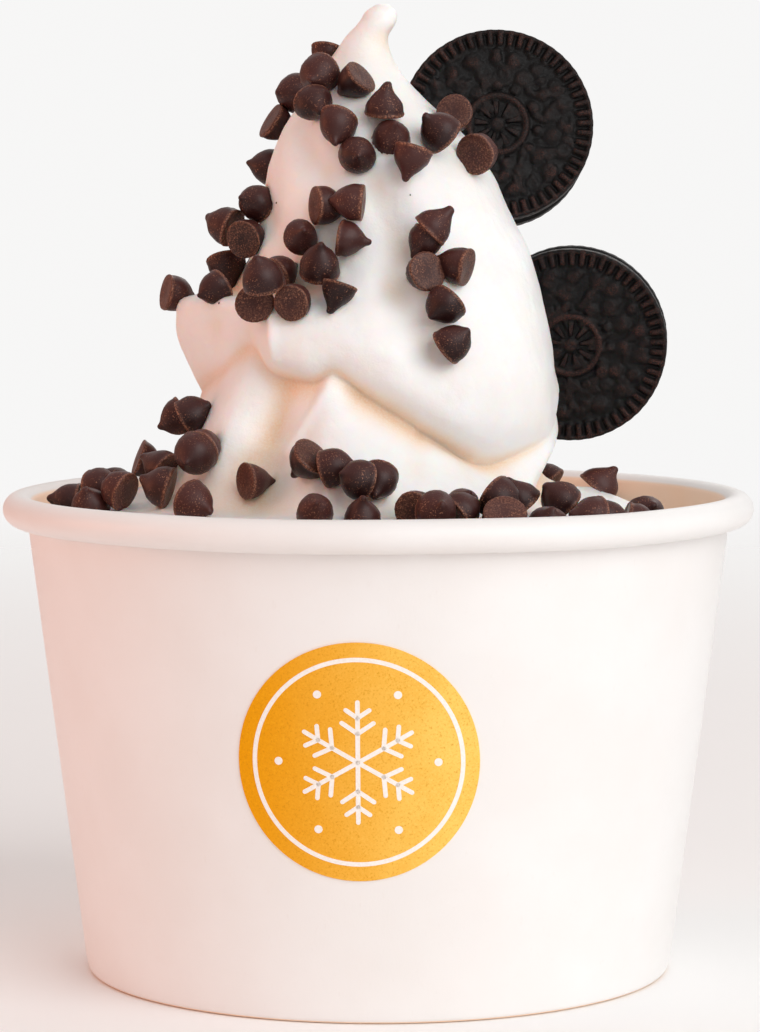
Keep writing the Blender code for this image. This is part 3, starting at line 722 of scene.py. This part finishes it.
def makeYogurt():
    skin = swirlSkin()
    # how deep each point lies in a fold, kept as painted shade
    shadeInFolds = hollowness(skin)
    clear = swirl["clear"]
    floor = tub["baseLevel"] + tub["paper"] + 0.1 * mm
    skirtTop = tub["skirt"] + tub["paper"] + 0.3 * mm
    below = (  # rows below the visible skin: the middle of the floor, its edge, above the skirt
        (0, floor),
        (wallRadius(floor) - tub["fold"] - clear, floor),
        (wallRadius(skirtTop) - tub["paper"] - clear, skirtTop),
    )
    hidden = [ringOfPoints(swirlAzimuths(), radius / mm, z / mm) for radius, z in below]
    skin = np.concatenate([np.array(hidden), skin])
    shadeInFolds = np.concatenate([np.zeros((len(below), swirl["columns"])), shadeInFolds])
    rows, columns = skin.shape[:2]

    bm = bmesh.new()
    paintedShade = bm.verts.layers.float.new("paintedShade")
    bmesh.ops.create_grid(bm, x_segments=columns, y_segments=rows - 1, size=1)
    edge = max(vert.co.x for vert in bm.verts)
    for vert in bm.verts:
        row = round((vert.co.y / edge + 1) / 2 * (rows - 1))
        column = round((vert.co.x / edge + 1) / 2 * columns) % columns
        place = Vector(skin[row, column])
        if len(below) < row < rows - len(swirl["dome"]) - 1:  # faint unevenness of the skin
            rough = sum(depth * noise.noise(place * often) for depth, often in swirl["uneven"])
            place += flat(place).normalized() * rough
        vert.co = place * mm
        # painted shade in the folds
        vert[paintedShade] = shadeInFolds[row, column]
    bmesh.ops.remove_doubles(bm, verts=bm.verts, dist=weld)
    bmesh.ops.recalc_face_normals(bm, faces=bm.faces)
    piece = addPiece("softServeSwirl", bm, softServe)
    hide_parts("yogurt")
    return piece


yogurt = makeYogurt()
print("swirl made:", len(yogurt.data.polygons), "faces")


cookie = {
    "radius": 12.6 * mm, "wafer": 2.5 * mm, "rounding": 0.45 * mm, "gap": 0.3 * mm,
    "relief": 0.6 * mm, "ridges": 54, "ridgeFrom": 10.5 * mm, "notch": 0.04 * mm,
    "pips": (  # ring radius, count, radius of a pip
        (9.0 * mm, 19, 1.35 * mm), (6.9 * mm, 15, 1.4 * mm), (5.2 * mm, 11, 1.1 * mm),
    ),
    "pipTurn": 70,  # radians for each metre of a ring's radius, so that the rings don't line up
    "rim": (11.95 * mm, 12.2 * mm),  # where the outer edge rises
    "boss": 4.2 * mm, "hub": 1.2 * mm, "segments": 400, "rowWidth": 0.22 * mm,
    "ribs": 9, "ribStart": (0.9 * mm, 1.5 * mm), "ribEnd": (2.9 * mm, 3.3 * mm),
    "pits": 0.09 * mm, "waver": 0.08 * mm,
    "filling": 2.0 * mm, "fillingRadius": 11.5 * mm, "bulge": 0.35 * mm, "overlap": 0.02 * mm,
    "fillingSegments": 96, "ragged": 0.22 * mm,
    "places": (  # name, centre in mm, degrees it leans back and is turned, seed of its unevenness
        ("upper_cookie", (15.3, 9.0, 108.7), 11.0, -3.0, 14),
        ("lower_cookie", (25.4, 9.0, 80.8), -4.0, 5.0, 49),
    ),
}


def eased(value, low, high):
    t = min(1.0, max(0.0, (value - low) / (high - low)))
    return t * t * (3 - 2 * t)


def dotRows(r, angle, rings, soft):  # 1 in the middle of a dot and 0 outside all of them
    found = 0.0
    for ring, count, radius in rings:
        step = 2 * math.pi / count
        turned = angle + ring * cookie["pipTurn"]
        number = round(turned / step)
        own = number % count * 2.4 + ring / mm  # each dot is a little out of place and of its own size
        off = turned - number * step + 0.10 * step * math.sin(own * 1.7)
        middle = ring + 0.25 * mm * math.sin(own * 2.9)
        away = math.hypot(r * math.cos(off) - middle, r * math.sin(off))
        size = radius * (1 + 0.2 * math.sin(own))
        found = max(found, eased(size - away, 0, size * soft))
    return found


def ridgeShare(angle):
    return eased(math.cos(cookie["ridges"] * angle), -0.9, 0.5)


def waferRelief(r, angle, lumps):  # 0 at the bottom of the stamped pattern and 1 at its top
    band = eased(r, cookie["ridgeFrom"] - 0.25 * mm, cookie["ridgeFrom"] + 0.2 * mm)
    rim = eased(r, *cookie["rim"])
    pips = dotRows(r, angle, cookie["pips"], 0.6) * eased(r, cookie["boss"], cookie["boss"] + 0.5 * mm)
    bossRim = 1 - eased(abs(r - cookie["boss"] + 0.45 * mm), 0.25 * mm, 0.6 * mm)
    ribs = eased(math.cos(cookie["ribs"] * angle), -0.3, 0.7) * eased(r, *cookie["ribStart"])
    hub = eased(cookie["hub"] - r, 0, cookie["hub"] / 2)
    boss = max(0.75 * ribs, 0.8 * hub) * (1 - eased(r, *cookie["ribEnd"]))
    field = max(pips * (0.7 + 0.6 * lumps), 0.65 * eased(lumps, -0.1, 0.3)) * (1 - band)
    return max(band * ridgeShare(angle), 0.85 * rim, 0.95 * field, boss, bossRim)


def makeWafer(seed):  # stamped side up, standing on its plain side
    radius, top, rounding = cookie["radius"], cookie["wafer"], cookie["rounding"]
    field = radius - rounding
    rows = round(field / cookie["rowWidth"])
    outline = [(0, 0), (radius * 0.5, 0), (field, 0)]
    outline += arcPoints(field, rounding, rounding, -60, 0, 2)
    outline += arcPoints(field, top - rounding, rounding, 0, 90, 5)
    outline += [(field * (1 - i / rows), top) for i in range(1, rows + 1)]
    bm = spinOutline(outline, cookie["segments"])
    height = bm.verts.layers.float.new("relief")
    for vert in bm.verts:
        r, angle, z = flat(vert.co).length, math.atan2(vert.co.y, vert.co.x), vert.co.z
        ridge = ridgeShare(angle)
        away = Vector((math.cos(angle), math.sin(angle), 0))
        rough = noise.noise(Vector((vert.co.x, vert.co.y, z + seed)) * 900)
        coarse = noise.noise(Vector((vert.co.x, vert.co.y, z - seed)) * 330)
        if z > top - 0.05 * mm:
            relief = waferRelief(r, angle, noise.noise(Vector((vert.co.x, vert.co.y, seed)) * 650))
            vert[height] = relief
            vert.co.z = top - cookie["relief"] * (1 - relief) + cookie["pits"] * min(0, rough + coarse)
        if r > radius - rounding * 1.1 and z > 0.3 * mm:
            depth = eased(z, 0.9 * mm, top - 0.2 * mm)
            vert.co -= away * cookie["notch"] * (1 - ridge) * depth
            # painted highlight on the tops of the edge ridges
            vert[height] = max(vert[height], 0.9 * ridge * depth)
        if r > radius * 0.8:
            vert.co -= away * cookie["waver"] * (0.5 + 0.5 * coarse)
    bmesh.ops.recalc_face_normals(bm, faces=bm.faces)
    return bm


def makeFilling(half, seed):
    radius = cookie["fillingRadius"]
    outline = [(0, -half), (radius * 0.6, -half)]
    outline += [(radius - cookie["bulge"] * side ** 2, half * side) for side in np.linspace(-1, 1, 9)]
    outline += [(radius * 0.6, half), (0, half)]
    bm = spinOutline(outline, cookie["fillingSegments"])
    for vert in bm.verts:
        away = flat(vert.co)
        if away.length > 0.8 * radius:
            ragged = cookie["ragged"] * noise.noise(vert.co * 400 + Vector((seed, 0, 0)))
            vert.co += away.normalized() * ragged
    return bm


def makeCookies():
    middle = cookie["filling"] / 2 + cookie["gap"]
    for name, centre, leanBack, turnLeft, seed in cookie["places"]:
        place = Matrix.Translation(Vector(centre) * mm) @ Matrix.Rotation(math.radians(-turnLeft), 4, "Z")
        place = place @ Matrix.Rotation(math.radians(-leanBack), 4, "X")
        place = place @ Matrix.Rotation(math.radians(90), 4, "X")
        outwards = Matrix.Translation((0, 0, middle)) @ Matrix.Rotation(math.radians(seed), 4, "Z")
        shortName = name.split("_")[0]
        for side, turn in (("front", 0), ("back", math.pi)):
            wafer = makeWafer(seed + turn)
            wafer.transform(place @ Matrix.Rotation(turn, 4, "X") @ outwards)
            piece = addPiece(f"{shortName}Cookie{side.title()}Wafer", wafer, cocoa, 70)
            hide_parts(f"{name}_{side}_wafer")
        filling = makeFilling(middle + cookie["overlap"], seed)
        filling.transform(place)
        piece = addPiece(f"{shortName}CookieFilling", filling, cream, 60)
        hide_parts(f"{name}_filling")


makeCookies()
print("cookies made")


chips = {
    "radius": 2.6 * mm, "height": 4.3 * mm, "middle": 0.4, "segments": 22, "seed": 5,
    "sink": 0.7 * mm, "meet": 0.3 * mm,  # how far a chip is pressed into the yogurt, and towards others
    "slender": (  # (share of the radius, share of the height) from the base to the nub
        (0.0, 0.02), (0.5, 0.01), (0.88, 0.0), (0.975, 0.01), (1.0, 0.045), (0.99, 0.085),
        (0.955, 0.125), (0.945, 0.18), (0.925, 0.26), (0.865, 0.36), (0.765, 0.46), (0.635, 0.56),
        (0.49, 0.65), (0.36, 0.735), (0.27, 0.81), (0.215, 0.88), (0.175, 0.94), (0.10, 0.985), (0.0, 1.0),
    ),
    "stout": (
        (0.0, 0.02), (0.5, 0.01), (0.86, 0.0), (0.96, 0.01), (0.985, 0.05), (0.98, 0.09),
        (0.965, 0.14), (0.98, 0.22), (0.975, 0.32), (0.935, 0.44), (0.86, 0.56), (0.745, 0.67),
        (0.59, 0.765), (0.43, 0.835), (0.30, 0.885), (0.215, 0.925), (0.155, 0.96), (0.085, 0.99), (0.0, 1.0),
    ),
    "anyTurn": (0, 6.28), "squash": (0.93, 1.05), "tall": (0.9, 1.02),
    "bend": 1.1, "bendFrom": 0.6,  # the nub is pulled to one side
    "lumps": ((420, 0.16), (1300, 0.05)),  # how often in a metre, mm
    "edgeAt": 0.05, "edgeWidth": 0.08,  # the paler line round the base, dust and a painted rim highlight, in shares of the height
}


def chipShape(rng):  # one chip of its own, standing on its base, between slender and stout
    stout = rng.random()
    outline = [((r1 + (r2 - r1) * stout) * chips["radius"], (z1 + (z2 - z1) * stout) * chips["height"])
               for (r1, z1), (r2, z2) in zip(chips["slender"], chips["stout"])]
    bm = spinOutline(outline, chips["segments"])
    tone, edge = bm.verts.layers.float.new("tone"), bm.verts.layers.float.new("edge")
    ownTone = rng.random()
    bend = Vector((rng.uniform(-1, 1), rng.uniform(-1, 1), 0)) * chips["bend"]
    squash = (rng.uniform(*chips["squash"]), rng.uniform(*chips["squash"]), rng.uniform(*chips["tall"]))
    drift = Vector([rng.uniform(0, 50) for _ in range(3)])
    for vert in bm.verts:
        share = vert.co.z / chips["height"]
        away = flat(vert.co)
        vert[tone] = ownTone
        # dust and a painted highlight along the rim of the base
        paleRim = max(0, 1 - abs(share - chips["edgeAt"]) / chips["edgeWidth"])
        vert[edge] = paleRim * min(1, away.length / chips["radius"] / 0.9)
        lump = sum(noise.noise(vert.co * often + drift) * depth * mm for often, depth in chips["lumps"])
        vert.co += (away.normalized() if away.length > 1e-6 else Vector()) * lump
        vert.co.z += 0.6 * lump
        vert.co += bend * mm * max(0, share - chips["bendFrom"]) ** 2 * 2.2
        vert.co = [along * stretch for along, stretch in zip(vert.co, squash)]
    return bm


def chipPlace(node):  # where a solid chip stands: middle of its base, way of its tip, and size
    bm = bmesh.new()
    bm.from_mesh(node.data)
    bmesh.ops.remove_doubles(bm, verts=bm.verts, dist=1e-6)

    def uneven(vert):
        lengths = [edge.calc_length() for edge in vert.link_edges]
        return 1 - min(lengths) / max(lengths) if len(lengths) > 6 else 1

    tip = min(bm.verts, key=uneven)
    ring = [edge.other_vert(tip).co for edge in tip.link_edges]
    axis = (tip.co - sum(ring, Vector()) / len(ring)).normalized()
    tall = max((tip.co - vert.co).dot(axis) for vert in bm.verts)
    base = tip.co - axis * tall
    bm.free()
    return base, axis, tall / chips["height"]


def tipTowards(way, rng):  # turns a chip's tip that way, and the chip about its own axis by chance
    spin = Matrix.Rotation(rng.uniform(*chips["anyTurn"]), 4, "Z")
    return way.to_track_quat("Z", "Y").to_matrix().to_4x4() @ spin


def makeChips(yogurtTree):
    rng = random.Random(chips["seed"])
    joined, middles = bmesh.new(), []
    names = sorted(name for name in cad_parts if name.startswith("chip_"))
    for name in names:
        base, axis, size = chipPlace(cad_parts[name])
        shape = chipShape(rng)
        middle = base + axis * size * chips["height"] * chips["middle"]
        nearest = yogurtTree.find_nearest(middle)[0]
        sink = (nearest - middle).normalized() * chips["sink"] - axis * chips["meet"]
        longer = Matrix.Scale(1 + chips["meet"] / chips["height"], 4, (0, 0, 1))
        turn = tipTowards(axis, rng) @ longer
        joinInto(joined, shape, Matrix.Translation(base + sink) @ turn @ Matrix.Scale(size, 4))
        middles.append(middle)
    piece = addPiece("chocolateChips", joined, chocolate, 70)
    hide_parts(*names)
    return piece, middles


scatter = {
    "seed": 31, "sizes": (0.92, 1.04), "sink": 0.25 * mm,
    "nudges": ((0, 0), (2.5, 0), (-2.5, 0), (0, 1.0), (0, -1.4)),  # degrees round, mm out
    "above": 72 * mm, "dropFrom": 9 * mm, "step": 0.4 * mm, "lowest": -1 * mm,
    "highest": 5.3 * mm, "deeper": 1.2 * mm,
    "fromAbove": (  # azimuth, distance from the axis, azimuth of the tip, degrees it points above level
        (-5.3, 39.2, 0, 60), (0.8, 41.2, 60, -20), (9.7, 41.6, 20, 20), (12.9, 39.0, 120, 30),
        (17.0, 36.6, 30, 60), (18.4, 41.6, 190, -40), (27.0, 41.5, 0, 50), (35.4, 35.5, -70, 45),
        (34.2, 42.0, -60, 10),
        (41.2, 41.2, 90, 0), (49.9, 41.9, 90, -10), (53.2, 40.1, 20, 35), (139.0, 35.8, -110, 35),
        (135.5, 41.2, 0, -80), (-78.8, 41.1, -90, 10), (-69.3, 39.6, -20, 50), (-74.0, 36.4, 60, 10),
        (-92.0, 34.4, -60, 40), (-90.0, 31.0, 100, -20), (-64.0, 36.6, -120, 20), (-50.2, 34.4, -100, 15),
        (-56.6, 31.0, 30, 50), (-110.0, 37.5, 200, 30), (-128.0, 34.0, 80, 10), (-150.0, 37.0, 150, -15),
        (-172.0, 33.0, 10, 60), (165.0, 38.5, -90, 5), (148.0, 33.0, 160, 35), (100.0, 30.0, 90, 50),
    ),
    "onOthers": (  # the same, dropped last so that they rest on the rest
        (-13.5, 37.2, 10, 55), (-7.0, 36.6, -60, 20), (-1.5, 38.2, 40, 10), (5.0, 39.6, -30, 40),
        (13.0, 37.6, 120, 15), (20.5, 38.0, 60, -30), (24.5, 39.8, 20, 60), (-46.0, 35.5, 100, 40),
    ),
}


def settleChip(shape, obstacles, point, turn, size):  # lowers a chip until it would touch
    def at(rise):
        return Matrix.Translation(point + Vector((0, 0, rise))) @ turn @ Matrix.Scale(size, 4)

    def blocked(rise):
        moved = shape.copy()
        moved.transform(at(rise))
        tree = BVHTree.FromBMesh(moved)
        moved.free()
        return any(tree.overlap(other) for other in obstacles)

    free, step = scatter["dropFrom"], scatter["step"]
    while free > scatter["lowest"] and not blocked(free - step):
        free -= step
    return free, at(free - scatter["sink"])


def makeLooseChips(yogurtTree, obstacles):
    rng = random.Random(scatter["seed"])
    joined, before = bmesh.new(), len(obstacles)
    aimed = [(place, scatter["nudges"]) for place in scatter["fromAbove"]]
    aimed += [(place, scatter["nudges"][:3]) for place in scatter["onOthers"]]
    for (azimuth, distance, tipAzimuth, tipRise), nudges in aimed:
        rise = math.radians(tipRise)
        tip = outward(tipAzimuth) * math.cos(rise) + Vector((0, 0, math.sin(rise)))
        turn = tipTowards(tip, rng) @ Matrix.Translation((0, 0, -chips["middle"] * chips["height"]))
        shape, size = chipShape(rng), rng.uniform(*scatter["sizes"])
        settled = []
        for around, further in nudges:  # the lowest of a few spots close together
            start = outward(azimuth + around) * (distance + further) * mm + Vector((0, 0, scatter["above"]))
            point = yogurtTree.ray_cast(start, Vector((0, 0, -1)))[0]
            settled.append(settleChip(shape, obstacles, point, turn, size))
        free, place = min(settled, key=lambda found: found[0])
        if free > scatter["highest"]:  # it would stand on a pile
            shape.free()
            continue
        if abs(azimuth) > 90:  # those behind the swirl are pressed in deeper
            place = Matrix.Translation((0, 0, -scatter["deeper"])) @ place
        shape.transform(place)
        obstacles.append(BVHTree.FromBMesh(shape))
        joinInto(joined, shape)
    print("loose chips set down:", len(obstacles) - before, "of", len(aimed))
    return addPiece("looseChips", joined, chocolate, 70)


crumbs = {
    "count": 36, "seed": 8, "sizes": (0.07 * mm, 0.22 * mm), "strew": 2.4 * mm,
    "uneven": (0.65, 1.2), "tone": 0.6,
}


def makeCrumbs(yogurtTree, middles):
    rng = random.Random(crumbs["seed"])
    joined = bmesh.new()
    for _ in range(crumbs["count"]):  # each has fallen off a chip near by
        drift = Vector([rng.gauss(0, 1) for _ in range(3)]) * crumbs["strew"]
        point = yogurtTree.find_nearest(rng.choice(middles) + drift)[0]
        crumb = bmesh.new()
        size = rng.uniform(*crumbs["sizes"])
        tone = crumb.verts.layers.float.new("tone")
        bmesh.ops.create_icosphere(crumb, subdivisions=1, radius=size)
        for vert in crumb.verts:
            vert[tone] = crumbs["tone"]
            vert.co *= rng.uniform(*crumbs["uneven"])
        joinInto(joined, crumb, Matrix.Translation(point))
    return addPiece("chocolateCrumbs", joined, chocolate)


meniscus = {"reach": 1.7 * mm, "rise": 0.62 * mm, "fade": 1.6, "paintedShade": 0.35, "above": 50 * mm}


def pressYogurtRound(trees):  # yogurt rises a little wherever something is stuck in it
    layer = yogurt.data.attributes["paintedShade"].data
    for vert, paintedShade in zip(yogurt.data.vertices, layer):
        if vert.co.z < meniscus["above"]:
            continue
        for tree in trees:
            near, _, _, distance = tree.find_nearest(vert.co, meniscus["reach"])
            if near is not None and distance > 1e-6:
                share = 1 - distance / meniscus["reach"]
                rise = min(distance, meniscus["rise"] * share ** meniscus["fade"])
                vert.co += (near - vert.co).normalized() * rise
                # painted shade in the hollow round each chip
                paintedShade.value = min(1, paintedShade.value + meniscus["paintedShade"] * share ** 2)
    yogurt.data.update()


yogurtTree = treeOf(yogurt)
stuckChips, chipMiddles = makeChips(yogurtTree)
print("chips made:", len(stuckChips.data.polygons), "faces")
looseChips = makeLooseChips(yogurtTree, [yogurtTree, treeOf(stuckChips), treeOf(cupWall)])
makeCrumbs(yogurtTree, chipMiddles)
pressYogurtRound([treeOf(stuckChips), treeOf(looseChips)])
print("loose chips and crumbs made")


studio = {
    "skyLeft": (0.84, 0.46, 0.34), "skyRight": (1.0, 1.0, 1.0), "skyStrength": 0.60,
    "skyWay": (0.75, 0, 0.75), "skyRange": (-0.55, 0.16),  # warm low on the left, white elsewhere
    "backdrop": (0.93, 0.925, 0.92), "floorRadius": 6,
    "lights": (  # name, place, aim, size, watts, colour
        ("keyLight", (0.56, -0.68, 0.56), (0, 0, 0.06), 1.00, 6.2, (1.0, 0.99, 0.985)),
        ("warmFill", (-0.85, -0.02, 0.16), (0, 0, 0.06), 0.60, 2.2, (1.0, 0.34, 0.20)),
        ("backLight", (0.20, 0.75, 0.55), (0, 0, 0.07), 0.60, 0.9, (1.0, 0.93, 0.88)),
    ),
    "camera": (0.0002, -0.4777, 0.0974), "tilt": math.pi / 2 - 0.081, "lens": 128.9, "sensor": 36,
    "clip": (0.01, 50),
}


def makeFloor():
    bm = bmesh.new()
    bmesh.ops.create_circle(bm, cap_ends=True, segments=96, radius=studio["floorRadius"])
    mesh = bpy.data.meshes.new("floor")
    bm.to_mesh(mesh)
    bm.free()
    mesh.materials.append(makeFloorMaterial())
    floor = bpy.data.objects.new("floor", mesh)
    bpy.context.collection.objects.link(floor)


def makeSky():
    world = bpy.data.worlds.new("studio")
    world.use_nodes = True
    nodes, links = world.node_tree.nodes, world.node_tree.links
    sky, backdrop = nodes["Background"], nodes.new("ShaderNodeBackground")
    across, share = nodes.new("ShaderNodeVectorMath"), nodes.new("ShaderNodeMapRange")
    ramp, way = nodes.new("ShaderNodeMix"), nodes.new("ShaderNodeTexCoord")
    either, path = nodes.new("ShaderNodeMixShader"), nodes.new("ShaderNodeLightPath")
    sky.inputs["Strength"].default_value = studio["skyStrength"]
    backdrop.inputs["Color"].default_value = (*studio["backdrop"], 1)
    across.operation, across.inputs[1].default_value = "DOT_PRODUCT", studio["skyWay"]
    share.inputs["From Min"].default_value, share.inputs["From Max"].default_value = studio["skyRange"]
    ramp.data_type = "RGBA"
    ramp.inputs[6].default_value = (*studio["skyLeft"], 1)
    ramp.inputs[7].default_value = (*studio["skyRight"], 1)
    for output, socket in (
        (way.outputs["Generated"], across.inputs[0]),
        (across.outputs["Value"], share.inputs["Value"]),
        (share.outputs["Result"], ramp.inputs[0]),
        (ramp.outputs[2], sky.inputs["Color"]),
        (path.outputs["Is Camera Ray"], either.inputs[0]),  # the backdrop is seen, and the sky gives light
        (sky.outputs[0], either.inputs[1]),
        (backdrop.outputs[0], either.inputs[2]),
        (either.outputs[0], nodes["World Output"].inputs["Surface"]),
    ):
        links.new(output, socket)
    bpy.context.scene.world = world


def makeLights():
    for name, place, aim, size, watts, colour in studio["lights"]:
        light = bpy.data.lights.new(name, "AREA")
        light.shape, light.size, light.energy, light.color = "DISK", size, watts, colour
        lamp = bpy.data.objects.new(name, light)
        lamp.location = place
        lamp.rotation_euler = (Vector(aim) - Vector(place)).to_track_quat("-Z", "Y").to_euler()
        bpy.context.collection.objects.link(lamp)


def makeCamera():
    camera = bpy.data.cameras.new("camera")
    camera.lens, camera.sensor_width = studio["lens"], studio["sensor"]
    camera.clip_start, camera.clip_end = studio["clip"]
    shot = bpy.data.objects.new("camera", camera)
    shot.location, shot.rotation_euler = studio["camera"], (studio["tilt"], 0, 0)
    bpy.context.collection.objects.link(shot)
    bpy.context.scene.camera = shot
    bpy.context.scene.view_settings.view_transform = "Standard"


makeFloor()
makeSky()
makeLights()
makeCamera()
print("studio made")
